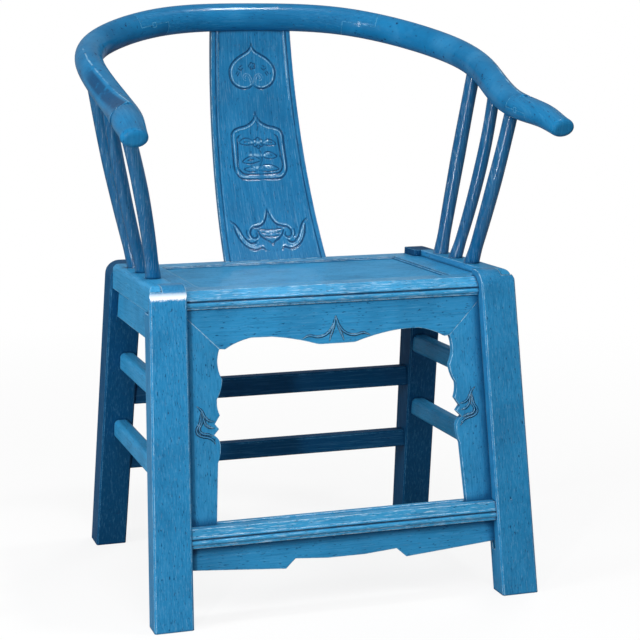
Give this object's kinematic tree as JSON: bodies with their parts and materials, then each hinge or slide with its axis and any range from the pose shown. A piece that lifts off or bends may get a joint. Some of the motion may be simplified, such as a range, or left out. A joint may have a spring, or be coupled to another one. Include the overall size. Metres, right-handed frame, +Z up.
{
  "type": "horseshoe-back armchair",
  "caption": "Splayed wooden armchair with a continuous rounded crest rail falling to open arms, turned posts, a curved carved splat, a panelled seat, cusped aprons and low stretchers.",
  "frame": {"origin": "on the floor, under the centre of the bounding box of the whole chair", "axes": "+Z up, the sitter faces -Y, +X to the right of someone who looks at the chair's front"},
  "size_m": [0.712, 0.629, 0.9545],
  "materials": {
    "frame_lacquer": "worn blue gloss lacquer on wood",
    "carved_lacquer": "worn blue lacquer over low relief carving",
    "panel_lacquer": "satin blue lacquer, rubbed by use",
    "bare_wood": "planed bare softwood"
  },
  "bodies": {
    "root": {"leg_front_right": "frame_lacquer", "leg_front_left": "frame_lacquer", "leg_back_right": "frame_lacquer", "leg_back_left": "frame_lacquer", "seat_front_rail": "frame_lacquer", "seat_back_rail": "frame_lacquer", "seat_side_right": "frame_lacquer", "seat_side_left": "frame_lacquer", "seat_panel": "panel_lacquer", "seat_batten_left": "bare_wood", "seat_batten_right": "bare_wood", "side_rail_right": "frame_lacquer", "side_rail_left": "frame_lacquer", "front_apron": "carved_lacquer", "apron_bracket_right": "carved_lacquer", "apron_bracket_left": "carved_lacquer", "side_apron_right": "frame_lacquer", "side_apron_left": "frame_lacquer", "foot_rail": "frame_lacquer", "foot_apron": "carved_lacquer", "side_stretcher_lower_right": "frame_lacquer", "side_stretcher_lower_left": "frame_lacquer", "side_stretcher_upper_right": "frame_lacquer", "side_stretcher_upper_left": "frame_lacquer", "back_stretcher_lower": "frame_lacquer", "back_stretcher_upper": "frame_lacquer", "post_front_right": "frame_lacquer", "post_front_left": "frame_lacquer", "post_middle_right": "frame_lacquer", "post_middle_left": "frame_lacquer", "post_rear_right": "frame_lacquer", "post_rear_left": "frame_lacquer", "crest_back": "frame_lacquer", "crest_side_right": "frame_lacquer", "crest_side_left": "frame_lacquer", "crest_end_right": "frame_lacquer", "crest_end_left": "frame_lacquer", "scarf_wedges": "frame_lacquer", "back_splat": "carved_lacquer"}
  },
  "joints": []
}
